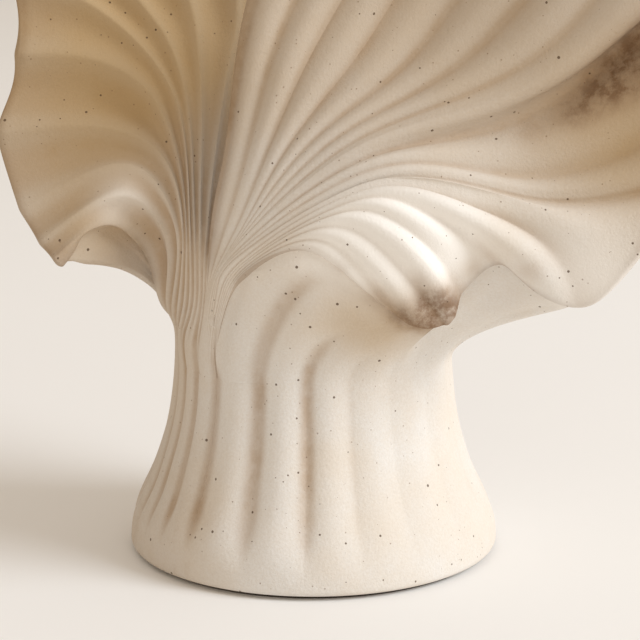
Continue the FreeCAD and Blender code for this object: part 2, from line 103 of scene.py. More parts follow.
# Painted shade: warm darkening under the drooping rims, inside the upper fan and on the left leaf, which
# lies in the front leaf's shadow
painted_shade_shares = {
    "front": ((1, 0.72, 0.06, 1, (1, 0, -4)), (1, 0.85, 0.05, 0.6, (0.5, 1, -6)), (0.42, 0.85, 0.12, 1),
              (0.15, 0.9, 0.09, 0.35)),
    "left": ((0, 0.75, 0.05, 0.6, (0, 1, -1.5)), (0.5, 0.8, 0.13, 0.9), (0.8, 0.8, 0.11, 1),
             (0.25, 0.85, 0.09, 0.5)),
}
# How far a leaf's root goes on below the ring, inside the stem's surface, as a share of its wall
root_skirt_share = 0.1
foot_round_share = 0.2
foot_steps = 5
merge_gap = 2.0e-7
# Turn between two faces above which their edge is crisp
sharp_turn = 0.8

# Columns and rows of the meshes that don't follow the panel's rows
stem_columns = 721
stem_rows = 60
front_columns = 250
left_columns = 200
back_columns = 420
back_rows = 90

# Uneven tones: grains per metre, detail, roughness, and values between which each goes from 0 to 1
mottles = {
    "cloud": (22.0, 4.0, 0.6, 0.35, 0.68), "patch": (38.0, 5.0, 0.65, 0.46, 0.64),
    "bloom": (60.0, 5.0, 0.7, 0.45, 0.66), "blotch": (200.0, 6.0, 0.7, 0.38, 0.62),
    "sand": (1500.0, 3.0, 0.7, 0.3, 0.7), "table": (5.0, 3.0, 0.6, 0.3, 0.7),
}
# Grains per metre of the clay's fine pits and wider hollows and of the felt's nap, and their depth
pit_grain = 1300.0
hollow_grain = 380.0
nap_grain = 3200.0
pit_depth = 0.0003
hollow_part = 0.8
clay_roughness = (0.86, 0.96)
clay_gloss = 0.22
# Heights over which the foot's bloom ends and the painted shade of the upper fan begins, and
# places across over which the painted shade of the left side, away from the light, begins
foot_bloom_heights = (0.002, 0.030)
upper_painted_shade_heights = (0.090, 0.140)
left_painted_shade_places = (-0.014, -0.046)
# Values of a mark between which its tone goes from none to full, and what a mottle leaves of it
crease_limits = (0.3, 1.0)
rim_limits = (0.2, 0.65)
halo_limits = (0.0, 0.6)
core_limits = (0.25, 1.0)
patch_least = 0.6
blotch_least = 0.35
# Iron specks: cell, largest radius and share of the cells that hold one
fine_specks = (0.0018, 0.00024, 0.55)
large_specks = (0.0033, 0.00042, 0.55)
speck_soft_share = 0.02

# Camera of the photograph, and the studio
camera_sensor = 36.0
camera_lens = 118.125
camera_elevation = 12.6
camera_distance = 0.613
camera_target = (0.00188, 0.0, 0.0671)
table_half = 6.0
sky_colour = (1.0, 0.89, 0.77)
sky_strength = 0.66
light_place = (2.52, -0.92, 1.81)
light_target = (0.0, 0.0, 0.07)
light_size = 1.6
light_power = 72.0
light_colour = (0.91, 0.975, 1.06)

# Sockets of Blender's colour mix node
mix_sockets = (0, 6, 7)
mix_result = 2

# Flute heights as shares of a flute's width, and the widest flute counted, as a share of the height
stem_flute_share = 0.13
front_flute_share = 0.23
left_flute_share = 0.22
flute_limit_share = 0.1
crease_round_share = 0.025
ridge_round_share = 0.012
flute_limit_angle = 22.0

# The tables below hold hundredths: the fan's width is 86 of them, its depth 32.5 and its height
# from the waist to the top is 76.25, with the waist at 23.75
width_share = 86.0
depth_share = 32.5
waist_share = 23.75
root_rise_share = 4.0
root_lean_share = 0.012

# Radius of the stem over its height, foot to waist, as shares of the flare
flare_shares = (0.95, 0.86, 0.56, 0.33, 0.15, 0.04, 0.0)

# Ring angles of the creases in the stem, and root arcs of the leaves, in degrees from the front
crease_angles = (-76, -66, -55.5, -43, -22, -2, 15, 32, 52, 72, 92, 112, 132, 152, 172, 192,
                 212, 232, 252, 270, 284)
# Depth of each of these creases: the ones under the drooping rim are faint
crease_depth_shares = (1.1, 1.3, 1.35, 1.2, 1.3, 1.2, 0.6, 0.35, 0.35, 0.5, 0.7, *(7 * [0.8]), 0.9, 1, 1.1)
# Past this angle the creases of the outer wall run out by this part, between these places up it
fade_angle = -22.0
fade_in_angle = 24.0
fade_out_share = 0.85
fade_rise_shares = (0.25, 0.7)
front_root_angles = (-50.0, -41.5)
left_root_angles = (-88.0, -50.0)
# Angle by which the creases of the outer wall lean over before they reach the front rim, and the
# angles past the first and before the last leaning rib over which the lean grows and fades
lean_angle = 36.0
lean_in_angle = 58.0
lean_out_angle = 62.0
lean_end_angle = 75.0

# First places above the ring: x and y as shares of the waist radius, z in hundredths
front_low_shares = ((-0.735, -0.70, 34.2), (-0.665, -0.80, 34.2), (-0.585, -0.86, 33.4))
left_low_shares = ((-1.095, -0.12, 30.6), (-0.95, -0.44, 31.9),
                   (-0.83, -0.61, 33), (-0.735, -0.70, 34.2))

# Places on the leaves in hundredths: x, y, z for five stations, one row per rib
front_shares = (
    ((-11.3, -12.5, 43.4), (-9.9, -12.9, 50.6), (-8.3, -13.8, 61), (-5.6, -15, 71), (-1.5, -17, 79)),
    ((-8.6, -14, 42.2), (-4.8, -15, 51.7), (0, -14.5, 62), (6, -14.5, 72), (12.5, -18, 83)),
    ((-7.9, -14.7, 41.6), (0, -15.8, 52.1), (10, -13.8, 60), (17.5, -13.8, 70), (25.5, -18, 82)),
    ((-7.6, -15.2, 41.1), (3.6, -16.7, 51), (16, -15.6, 56), (28, -16.2, 62.5), (37, -19.5, 74.5)),
    ((-7.4, -15.7, 40.7), (5.9, -17.4, 50.3), (21.2, -14.4, 53.5), (34, -13.5, 61.5), (42.5, -17.5, 69)),
    ((-7.3, -16.2, 40.4), (8, -18.3, 49.6), (23.1, -16.8, 48.4), (36.2, -18, 52.2), (46.4, -21, 59.5)),
    ((-7.2, -16.6, 40.1), (8.8, -19.1, 48.2), (24, -18.3, 46.1), (36, -19.6, 47), (45.4, -21.5, 50.5)),
    ((-7.2, -16.9, 39.8), (6.9, -19.5, 47.4), (20.7, -19.4, 45.7), (31, -20.4, 43), (37.2, -21.7, 42.1)),
    ((-7.1, -17.2, 39.5), (4.1, -20, 46.7), (15.1, -20.6, 46.7), (25.4, -21.2, 41.4), (29.5, -20.8, 34)),
    ((-7.1, -17.4, 39.1), (3, -20.7, 45.6), (10.1, -22, 46), (16.4, -21.3, 42.3), (20.9, -18.3, 38.2)),
    ((-7.1, -17.6, 38.7), (1, -20.9, 43.9), (7.4, -22.5, 44), (12.9, -22.5, 39.5), (16, -19.8, 33.6)),
    ((-7.2, -17.8, 38.2), (-0.3, -21, 42.3), (5.8, -22.5, 41), (11.2, -22.3, 36.6), (14.7, -20.5, 32)),
    ((-7.3, -17.9, 37.8), (-1.4, -20.8, 40.6), (4.5, -21.5, 37.6), (9.5, -21.5, 33.2), (12.8, -20.5, 31.6)),
)
left_shares = (
    ((-19.3, -3.3, 35.5), (-21, -5.8, 39.2), (-23.4, -8.3, 41.4), (-26.5, -10, 40.6), (-29.9, -11, 37.8)),
    ((-17, -6.2, 37.4), (-18.7, -8.2, 42.7), (-22.1, -9.5, 44.9), (-26.5, -9.3, 43.2), (-31.8, -8.6, 39.2)),
    ((-15.8, -8.2, 39.1), (-17.7, -8.7, 45.3), (-21.2, -8, 48), (-26.5, -6.8, 46.8), (-34.2, -6, 42.6)),
    ((-15.2, -8.7, 40), (-16.5, -7.6, 47.2), (-20.4, -5.8, 51), (-27.3, -4.7, 52.3), (-36.7, -4.2, 51.5)),
    ((-14.8, -8.7, 40.8), (-15.9, -6.7, 49.1), (-19.5, -4.2, 56.4), (-26.4, -2.6, 60), (-34.4, -2.5, 60.5)),
    ((-14.4, -8.5, 41.6), (-15.2, -5.8, 52), (-18.4, -3, 59.2), (-25.4, -1, 65.6), (-34.6, -0.2, 70)),
    ((-13.9, -8, 42.2), (-14.5, -5.2, 53), (-16.6, -2.4, 61), (-20.7, -0.5, 66.8), (-29.5, 1, 78)),
    ((-13.2, -7.6, 42.6), (-13.1, -4.6, 53.6), (-13.6, -2, 62), (-15.3, 0, 69), (-21, 1.2, 87.5)),
    ((-12.2, -7.2, 42.6), (-11, -4.2, 52.6), (-9.6, -1.6, 60.5), (-9, 0.4, 69), (-12, 1.4, 92)),
    ((-10.9, -6.8, 42.4), (-8.6, -3.6, 51), (-6.2, -1.2, 59), (-4, 0.6, 68), (-3.5, 1.4, 91.5)),
)

# Creases counted along the ribs of the front leaf, and ridges along those of the left leaf
front_count_shares = (0, 2, 4, 6.3, 7, 8, 9, 9.5, 10, 11, 12.35, 13.5, 15)
left_count_shares = (0, 1, 2, 3, 4, 5, 6, 7, 8, 9.5)
# Past this rib of the front leaf the creases run out on its lower rim, and this part of them goes
strip_share = 10.0 / 12.0
strip_loss_share = 0.5
# The flutes flatten by this part on the way to a lower rim, between these places across the leaf
calm_share = 0.55
# The top rim of a leaf starts to stand free of the back leaf at the first of these places across it
front_free_shares = (0.5, 0.41)
left_free_shares = (0.39, 0.55)
front_calm_shares = (0.5, 0.68)
left_calm_shares = (0.42, 0.25)

# Places up a leaf: its own flutes have taken over from the stem's here, its normal is its own here,
# and the left leaf keeps beside the front leaf up to the first of two places and lets go by the next
root_blend_share = 0.3
normal_blend_share = 0.25
keep_shares = (0.26, 0.42)
keep_across_share = 0.6
# Reach of an edge into a leaf, and of the back leaf's side edges into its grid
edge_reach_share = 0.06
side_reach_share = 0.055
# The stem's creases reach full depth here above the table, and swell a little over its middle
stem_rise_share = 0.35
stem_swell_share = 0.8
# Steps for slopes and for the width of a flute, the power of the lean, and the most that flutes widen
slope_step_share = 0.004
count_step_share = 0.01
lean_power = 2.4
widen_limit = 2.4
least_count = 0.1
least_turn = 0.02
# A rib just beside the last one, which gives the way off it
beside_share = 0.97
# Places between which the lower rim's creases run out, the flutes flatten towards a rim, those of the
# outer wall end under a luted rim, and a leaf's side edges stand free
strip_rise_shares = (0.5, 1.0)
calm_rise_shares = (0.78, 1.0)
joined_calm_shares = (0.86, 0.98)
side_free_shares = (0.25, 0.4)
# Parts of the outer wall: where its flutes start off a side edge, how far up that edge slips under
# the leaf, and how far along the free top its thickness has turned inward
off_side_share = 0.02
side_cover_share = 0.6
free_turn_share = 0.25

# Back leaf, one value per rib: ring angle, rise above the ring, place on the edge of the front
# leaf or of the left leaf (u, v), and the depth of its margin under that edge in wall thicknesses
back_angles = (-41.5, -18, 2, 18, 31, 45, 60, 75, 92, 110, 130, 155, 180, 205, 228, 244, 252, 259, 264,
               268, 272)
rise_shares = (5, 5, 4, 3, 2.5, 3.5, 3, 3, 4, 5, 8, 15, 21, 23, 20, 14, 11, 9, 8.5, 8, 7)
front_edge_shares = ((1, 0.45), (1, 0.571), (1, 0.714), (1, 0.857), (1, 1), (0.75, 1), (0.71, 1),
                     (0.667, 1), (0.583, 1), (0.5, 1), (0.417, 1))
left_edge_shares = ((0.556, 1), (0.39, 1), (0.18, 1), (0, 1), (0, 0.857), (0, 0.714))
cover_shares = (0.1, 0.12, 0.25, 0.4, *(4 * [0.45]), 0.5, 0.8, *(6 * [1.2]), 0.9, 0.55, 0.45, 0.3, 0.2)
# Free top edge between the two leaves, and the pull of every rib on its way to the edge
top_shares = ((40, 4, 79), (20, 10, 93), (0, 10, 99), (-22, 8.5, 93))
pull_shares = (
    (-1.5, -0.5, -5), (-1, -0.3, -6), (-1.3, -0.2, -5), (-2, 0.4, -3.2), (-3, 2, -2.5), (-4, 3, -4),
    (-6, 5, -2.2), (-7.5, 7, -3), (-9, 9, -6.5), (-11, 12, -8), (-12, 14, -10), (-11, 4, -19),
    (-6, 3.5, -25), (0, 3.5, -27), (4, 4, -25), (8, 6, -16), (9, 6, -8), (9, 6.5, -2), (8, 7, -0.8),
    (5.5, 6, -1.2), (3, 4.5, -2.2),
)


def ease(s):
    s = min(1.0, max(0.0, s))
    return s * s * (3.0 - 2.0 * s)


def passed(s, places):
    """Goes from 0 to 1 while s goes from the first of two places to the second."""
    return ease((s - places[0]) / (places[1] - places[0]))


def beside(s, step):
    return max(0.0, s - step), min(1.0, s + step)


def mix(a, b, s):
    return a * (1.0 - s) + b * s


def pair(row, s):
    """The two entries on either side of s from 0 to 1 along a row, and the part between them."""
    s = min(1.0, max(0.0, s)) * (len(row) - 1)
    k = min(int(s), len(row) - 2)
    return row[k], row[k + 1], s - k


def along(row, s):
    """Value or place in a row at s from 0 to 1, straight between its entries."""
    a, b, part = pair(row, s)
    if isinstance(a, tuple):
        return tuple(p + (q - p) * part for p, q in zip(a, b))
    return a + (b - a) * part


def ring(angle, radius, z):
    a = math.radians(angle)
    return Vector((radius * math.sin(a), -radius * math.cos(a), z))


def flute(count, round_share=crease_round_share):
    """Rounded flute between whole counts: about a half on its back, minus a half in the crease."""
    return math.sqrt(math.sin(math.pi * count) ** 2 + round_share) - 0.5


class Curve:
    """Natural cubic curve through evenly counted numbers or places."""

    def __init__(self, points):
        self.points = points
        n = len(points)
        self.bend = [points[0] * 0.0] * n
        share = [0.0] * n
        part = list(self.bend)
        for i in range(1, n - 1):
            turn = points[i - 1] + points[i + 1] - points[i] * 2.0
            share[i] = 1.0 / (4.0 - share[i - 1])
            part[i] = (turn * 6.0 - part[i - 1]) * share[i]
        for i in range(n - 2, 0, -1):
            self.bend[i] = part[i] - self.bend[i + 1] * share[i]

    def at(self, s):
        a, b, f = pair(self.points, s)
        bend_a, bend_b, f = pair(self.bend, s)
        g = 1.0 - f
        return a * g + b * f + bend_a * ((g ** 3 - g) / 6.0) + bend_b * ((f ** 3 - f) / 6.0)


class Form:
    """The vase's form at the sizes of the panel, in metres."""

    def __init__(self, sizes):
        self.height = sizes.height
        self.waist_z = sizes.waist_height
        self.waist_r = sizes.waist_radius
        self.foot_r = sizes.foot_radius
        self.foot_z = sizes.pad_thickness
        self.wall = sizes.wall
        self.foot_wall = sizes.foot_wall
        self.relief = sizes.relief
        self.hand = sizes.hand
        self.step = Vector((sizes.fan_width / width_share, sizes.fan_depth / depth_share,
                            (self.height - self.waist_z) / (100.0 - waist_share)))
        self.flare = Curve(flare_shares)
        self.front_leaf = Leaf(self, front_root_angles, front_low_shares, front_shares, front_count_shares,
                               front_flute_share, front_calm_shares, front_free_shares,
                               (strip_share, strip_loss_share))
        self.left_leaf = Leaf(self, left_root_angles, left_low_shares, left_shares, left_count_shares,
                              -left_flute_share, left_calm_shares, left_free_shares)
        self.left_leaf.mate = self.front_leaf

        # Marks painted on the leaves: iron stains that are partly painted shade, painted highlights and
        # painted shade
        self.marks = {"stain_and_shade": self.spots(stain_and_shade_shares), "painted_highlight": self.spots(painted_highlight_shares),
                      "painted_shade": self.spots(painted_shade_shares)}

    def spots(self, table):
        leaves = {"front": self.front_leaf, "left": self.left_leaf}
        return [(sum(map(self.span, move), leaves[leaf].base(u, v)), reach * self.height, part)
                for leaf, marks in table.items() for u, v, reach, part, *move in marks]

    def span(self, share):
        """Length of a move given in hundredths."""
        return Vector(share) * self.step

    def place(self, share):
        """Place given in hundredths."""
        return self.span((share[0], share[1], share[2] - waist_share)) + Vector((0.0, 0.0, self.waist_z))

    def stem_part(self, z):
        return (z - self.foot_z) / (self.waist_z - self.foot_z)

    def stem_radius(self, z):
        return self.waist_r + (self.foot_r - self.waist_r) * self.flare.at(self.stem_part(z))

    def bore_radius(self, z):
        thicker = (self.foot_wall - self.wall) * (1.0 - self.stem_part(z)) ** 2
        return self.stem_radius(z) - self.wall - thicker

    def stem_crease(self, angle, lean=0.0):
        """Width of the flute at a ring angle in degrees, its rounded height and its depth."""
        first = crease_angles[0]
        angle = first + (angle - lean - first) % 360.0
        k = 0
        while angle >= crease_angles[k + 1]:
            k += 1
        wide = crease_angles[k + 1] - crease_angles[k]
        count = (angle - crease_angles[k]) / wide
        return wide, flute(count), mix(crease_depth_shares[k], crease_depth_shares[k + 1], count)

    def stem_flute(self, angle, lean=0.0):
        """Height of the stem's flutes at a ring angle."""
        wide, share, depth = self.stem_crease(angle, lean)
        arc = math.radians(min(wide, flute_limit_angle)) * self.waist_r
        return self.relief * stem_flute_share * depth * arc * share


class Leaf:
    """Pleated sheet that spreads from an arc of the waist ring: u runs across its ribs, v up them."""

    def __init__(self, form, arc, low, table, counts, flutes, calm, free, strip=None):
        self.form = form
        self.arc = arc
        r = form.waist_r
        self.low = Curve([Vector((x * r, y * r, form.place((0, 0, z)).z)) for x, y, z in low])
        self.rows = [Curve([form.place(rib[i]) for rib in table]) for i in range(len(table[0]))]
        self.counts = counts
        self.flutes = flutes * form.relief
        self.round = crease_round_share if flutes > 0 else ridge_round_share
        self.calm = calm
        self.free = free
        self.strip = strip
        self.mate = None
        self.ribs = {}

    def angle(self, u):
        return self.arc[0] + (self.arc[1] - self.arc[0]) * u

    def rib(self, u):
        key = round(u, 6)
        if key not in self.ribs:
            form = self.form
            root = ring(self.angle(u), form.waist_r, form.waist_z)
            lean = root + ring(self.angle(u), root_lean_share * form.waist_r, 0.0)
            points = [root, lean + form.span((0.0, 0.0, root_rise_share)), self.low.at(u)]
            self.ribs[key] = Curve(points + [row.at(u) for row in self.rows])
        return self.ribs[key]

    def base(self, u, v):
        """Sheet without its flutes. Near the root its last rib keeps beside the mate's first."""
        p = self.rib(u).at(v)
        if self.mate and u > keep_across_share and v < keep_shares[1]:
            own = self.rib(1.0).at(v)
            away = (self.rib(beside_share).at(v) - own).normalized()
            side = self.mate.rib(0.0).at(v) - away * lap
            keep = 1.0 - passed(v, keep_shares)
            keep *= ease((u - keep_across_share) / (1.0 - keep_across_share))
            p = p + (side - own) * keep
        return p

    def slopes(self, u, v):
        ua, ub = beside(u, slope_step_share)
        va, vb = beside(v, slope_step_share)
        du = (self.base(ub, v) - self.base(ua, v)) / (ub - ua)
        return du, (self.base(u, vb) - self.base(u, va)) / (vb - va)

    def normal(self, u, v, slopes=None):
        du, dv = slopes or self.slopes(u, v)
        p = self.base(u, v)
        out = Vector((p.x, p.y, 0.0)).normalized()
        return mix(out, du.cross(dv).normalized(), ease(v / normal_blend_share)).normalized()

    def count(self, u, v):
        c = along(self.counts, u)
        if self.strip and u > self.strip[0]:
            first = along(self.counts, self.strip[0])
            c = first + (c - first) * (1.0 - self.strip[1] * passed(v, strip_rise_shares))
        return c

    def faces(self, u, v):
        """Places on the visible face and on the face behind it, the sheet's normal, its two slopes
        and how deep in a crease the place is, from 0 to 1."""
        form = self.form
        du, dv = self.slopes(u, v)
        n = self.normal(u, v, (du, dv))
        p = self.base(u, v)
        ua, ub = beside(u, count_step_share)
        per = max((self.count(ub, v) - self.count(ua, v)) / (ub - ua), least_count)
        wide = min(du.length / per, flute_limit_share * form.height)
        share = flute(self.count(u, v), self.round)
        calm = 1.0 - calm_share * passed(u, self.calm) * passed(v, calm_rise_shares)
        high = self.flutes * wide * share * calm
        root = form.stem_flute(self.angle(u))
        high = root + (high - root) * ease(v / root_blend_share)
        _, root_share, root_depth = form.stem_crease(self.angle(u))
        deep = 0.5 - share if self.flutes > 0 else 0.5 + share
        deep = mix((0.5 - root_share) * root_depth, deep, ease(v / root_blend_share))
        return p + n * high, p - n * form.wall, n, du, dv, deep

    def edge(self, u, v, q):
        """Place q along the section of the edge, from the visible corner round to the back."""
        wall = self.form.wall
        du, dv = self.slopes(u, v)
        n = self.normal(u, v, (du, dv))
        side = max(0.0, 1.0 - min(u, 1.0 - u) / edge_reach_share)
        top = max(0.0, 1.0 - (1.0 - v) / edge_reach_share)
        sign = 1.0 if u > 0.5 else -1.0
        out = (off_edge(du, n) * (sign * side) + off_edge(dv, n) * top).normalized()
        p = self.base(u, v)
        if q < wall:
            return p - n * q - out * lap
        move = (q - wall) / math.hypot(side, top)
        ui, vi = u - sign * side * move / du.length, v - top * move / dv.length
        inner = self.base(ui, vi) - self.normal(ui, vi) * (wall - lap)
        return mix(p - n * wall - out * lap, inner, ease((q - wall) / wall))


def run_out(angle, v):
    """Part of the flutes that is gone at a place of the outer wall, under the drooping rim."""
    near = ease((angle - fade_angle) / fade_in_angle) * ease((lean_end_angle - angle) / fade_in_angle)
    return fade_out_share * near * passed(v, fade_rise_shares)


class BackLeaf:
    """Outer wall of the fan: ribs from the waist ring to under the two front leaves, free over the top."""

    def __init__(self, form):
        self.form = form
        self.angle = Curve([float(a) for a in back_angles])
        self.rise = Curve([float(r) for r in rise_shares])
        self.pull = Curve([form.span(p) for p in pull_shares])
        self.last = len(back_angles) - 1
        self.right_end = len(front_edge_shares) - 1
        self.left_start = self.last - len(left_edge_shares) + 1

    def under_edge(self, leaf, spot, s, deep):
        return leaf.edge(spot[0], spot[1], along(cover_shares, s / self.last) * self.form.wall + deep)

    def margin(self, s, deep):
        """Upper edge at rib s, deep below the visible face."""
        form = self.form
        if s <= self.right_end:
            return self.under_edge(form.front_leaf, along(front_edge_shares, s / self.right_end), s, deep)
        if s >= self.left_start:
            part = (s - self.left_start) / (self.last - self.left_start)
            return self.under_edge(form.left_leaf, along(left_edge_shares, part), s, deep)
        ends = ((form.front_leaf, front_edge_shares[-1], self.right_end),
                (form.left_leaf, left_edge_shares[0], self.left_start))
        spots = [self.under_edge(leaf, spot, rib, 0.0) for leaf, spot, rib in ends]
        part = (s - self.right_end) / (self.left_start - self.right_end)
        inner = ring(self.angle.at(s / self.last), -form.wall, 0.0)
        for i, (leaf, spot, rib) in enumerate(ends):
            turn = self.under_edge(leaf, spot, rib, form.wall) - spots[i]
            inner = mix(turn, inner, ease(abs(part - i) / free_turn_share))
        p = Curve([spots[0]] + [form.place(t) for t in top_shares] + [spots[1]]).at(part)
        return p + inner * (deep / form.wall)

    def rib(self, s, deep):
        """Four pull points of a rib."""
        u = s / self.last
        root = ring(self.angle.at(u), self.form.waist_r - deep, self.form.waist_z)
        end = self.margin(s, deep)
        return root, root + self.form.span((0.0, 0.0, self.rise.at(u))), end + self.pull.at(u), end

    def side(self, leaf, u, v, deep):
        """Side edge, from beside a leaf at the root to under its rim."""
        last = front_edge_shares[0][1] if leaf is self.form.front_leaf else left_edge_shares[-1][1]
        return leaf.edge(u, v * last, deep + cover_shares[0] * self.form.wall * ease(v / side_cover_share))

    def grid(self, across, up, deep):
        """Places of the visible face (deep 0) or of the inner face, and the depth in a crease."""
        columns = []
        for u in across:
            root, start, pull, end = self.rib(self.last * u, deep)
            columns.append([root * (1.0 - v) ** 3 + start * (3.0 * v * (1.0 - v) ** 2)
                            + pull * (3.0 * v * v * (1.0 - v)) + end * v ** 3 for v in up])
        ends = ((self.form.front_leaf, 1.0, 0), (self.form.left_leaf, 0.0, len(across) - 1))
        moves = [[self.side(leaf, u, v, deep) - columns[i][j] for j, v in enumerate(up)]
                 for leaf, u, i in ends]
        for i, u in enumerate(across):
            near = (1.0 - ease(u / side_reach_share), 1.0 - ease((1.0 - u) / side_reach_share))
            columns[i] = [p + moves[0][j] * near[0] + moves[1][j] * near[1]
                          for j, p in enumerate(columns[i])]
        if deep:
            return columns, None
        return self.fluted(columns, across, up)

    def fluted(self, columns, across, up):
        """Adds the flutes, which lean over towards the front rim and fade where a leaf covers them."""
        form = self.form
        n_u, n_v = len(columns), len(up)
        done, depths = [], []
        for i, u in enumerate(across):
            s = u * self.last
            angle = self.angle.at(u)
            a, b = max(0, i - 1), min(n_u - 1, i + 1)
            turn = self.angle.at(across[b]) - self.angle.at(across[a])
            arc = math.radians(max(turn, least_turn)) * form.waist_r
            off_side = ease(u / off_side_share) * ease((1.0 - u) / off_side_share)
            joined = max(1.0 - ease(s - self.right_end), 1.0 - ease(self.left_start - s))
            row, depth = [], []
            for j, v in enumerate(up):
                du = columns[b][j] - columns[a][j]
                dv = columns[i][min(n_v - 1, j + 1)] - columns[i][max(0, j - 1)]
                own = du.cross(dv).normalized()
                n = mix(ring(angle, 1.0, 0.0), own, ease(v / normal_blend_share)).normalized()
                lean = lean_angle * v ** lean_power * ease((angle - back_angles[0]) / lean_in_angle)
                lean *= ease((lean_end_angle - angle) / lean_out_angle)
                blend = ease(v / root_blend_share)
                wider = 1.0 + (min(du.length / arc, widen_limit) - 1.0) * blend
                calm = (1.0 - joined * passed(v, joined_calm_shares)) * (1.0 + (off_side - 1.0) * blend)
                calm *= 1.0 - run_out(angle, v)
                row.append(columns[i][j] + n * (form.stem_flute(angle, lean) * wider * calm))
                _, share, crease_depth = form.stem_crease(angle, lean)
                depth.append((0.5 - share) * crease_depth * calm)
            done.append(row)
            depths.append(depth)
        return done, depths


def spread(n):
    return [i / (n - 1) for i in range(n)]


def uneven(p, n, amount):
    """Small unevenness that the hand leaves in clay."""
    return p + n * (amount * noise.noise(p * hand_grain))


def mark(spots, p):
    """How strongly a place takes one of the marks, from 0 to 1: iron stains that are partly painted shade,
    painted highlights and painted shade.
    """
    return min(1.0, sum(part * math.exp(-((p - spot).length / reach) ** 2) for spot, reach, part in spots))


def sheet_bmesh(form, sections, depths, rims):
    """Closed sheet from one section per column: each runs up the front, over the rim and down the
    back. The first row is laid once more at the end, and equal places are merged."""
    n_u, n_v = len(sections), len(sections[0])
    bm = bmesh.new()
    bmesh.ops.create_grid(bm, x_segments=n_u - 1, y_segments=n_v, size=1.0)
    crease, rim, *marks = [bm.verts.layers.float.new(name) for name in ("crease", "rim", *form.marks)]
    for vert in bm.verts:
        i = round((vert.co.x + 1.0) / 2.0 * (n_u - 1))
        j = round((vert.co.y + 1.0) / 2.0 * n_v) % n_v
        vert.co = sections[i][j]
        vert[crease] = depths[i][j]
        vert[rim] = rims[i][j]
        for spots, layer in zip(form.marks.values(), marks):
            vert[layer] = mark(spots, vert.co)
    bmesh.ops.remove_doubles(bm, verts=bm.verts[:], dist=merge_gap)
    bmesh.ops.dissolve_degenerate(bm, edges=bm.edges[:], dist=merge_gap)
    bmesh.ops.recalc_face_normals(bm, faces=bm.faces[:])
    for face in bm.faces:
        face.smooth = True
    for edge in bm.edges:
        edge.smooth = edge.calc_face_angle(0.0) < sharp_turn
    return bm


def add_object(name, data):
    item = bpy.data.objects.new(name, data)
    bpy.context.scene.collection.objects.link(item)
    return item


def add_mesh(bm, name, material):
    mesh = bpy.data.meshes.new(name)
    bm.to_mesh(mesh)
    bm.free()
    mesh.materials.append(material)
    return add_object(name, mesh)


def finish_piece(bm, name, slot, material, *nodes):
    piece = add_mesh(bm, name, material)
    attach(piece, body_name)
    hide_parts(*nodes)


def off_edge(way, n):
    """Way off an edge along the sheet whose normal is n."""
    return (way - n * way.dot(n)).normalized()


def skirt(p, below):
    """Step from a root on the ring to just inside the stem's surface below it."""
    return Vector((-p.x, -p.y, 0.0)).normalized() * below + Vector((0.0, 0.0, -0.5 * below))


def rounded_bmesh(form, front, back, creases, across, up, free_sides, free_top):
    """Sheet with rounded edges. front and back are grids by column; across and up point off the side
    edges and the top edge; the free_ lists say how far each edge stands out, from 0 to 1."""
    n_u, n_v = len(front), len(front[0])
    below = root_skirt_share * form.wall
    turns = [math.pi * (k + 0.5) / (2 * nose_steps) for k in range(nose_steps)]
    quarter = math.pi / 2.0
    columns = [(0, quarter)] + [(0, t) for t in reversed(turns[:-1])] + [(i, 0.0) for i in range(n_u)]
    columns += [(n_u - 1, t) for t in turns[:-1]] + [(n_u - 1, quarter)]
    over = [math.pi * (k + 1) / (2 * nose_steps + 1) for k in range(2 * nose_steps)]
    sections, depths, rims = [], [], []
    for i, turn in columns:
        edge, free = (across[1], free_sides[1]) if i else (across[0], free_sides[0])
        c, s = math.cos(turn), math.sin(turn)
        halves = [(f - b) / 2.0 for f, b in zip(front[i], back[i])]
        middles = [(f + b) / 2.0 + way * (s * nose_share * half.length * part)
                   for f, b, way, half, part in zip(front[i], back[i], edge, halves, free)]
        section = [middle + half * c for middle, half in zip(middles, halves)]
        reach = nose_share * halves[-1].length * free_top[i]
        for lift in over:
            nose = halves[-1] * math.cos(lift) + up[i] * (math.sin(lift) * reach)
            section.append(middles[-1] + nose * c)
        section += [middle - half * c for middle, half in zip(middles[::-1], halves[::-1])]
        first, last = section[0], section[-1]
        section = [first + skirt(first, below)] + section + [last + skirt(last, below)]
        sections.append(section)
        depths.append(creases[i][:1] + creases[i] + creases[i][-1:] * len(over) + [0.0] * (n_v + 1))
        near = rim_row(front, i, free_sides, free_top)
        rims.append(near[:1] + near + [free_top[i]] * len(over) + near[::-1] + near[:1])
    return sheet_bmesh(form, sections, depths, rims)


def rim_row(front, i, free_sides, free_top):
    """Nearness of a free edge for every place up a column, from 0 to 1."""
    n_v = len(front[i])
    row = []
    gap = 0.0
    tops = [0.0] * n_v
    for j in reversed(range(n_v - 1)):
        gap += (front[i][j + 1] - front[i][j]).length
        tops[j] = gap
    for j in range(n_v):
        near = free_top[i] * math.exp(-tops[j] / rim_tint_reach)
        for end, free in ((front[0], free_sides[0]), (front[-1], free_sides[1])):
            off = (front[i][j] - end[j]).length
            near = max(near, free[j] * math.exp(-off / rim_tint_reach))
        row.append(near)
    return row


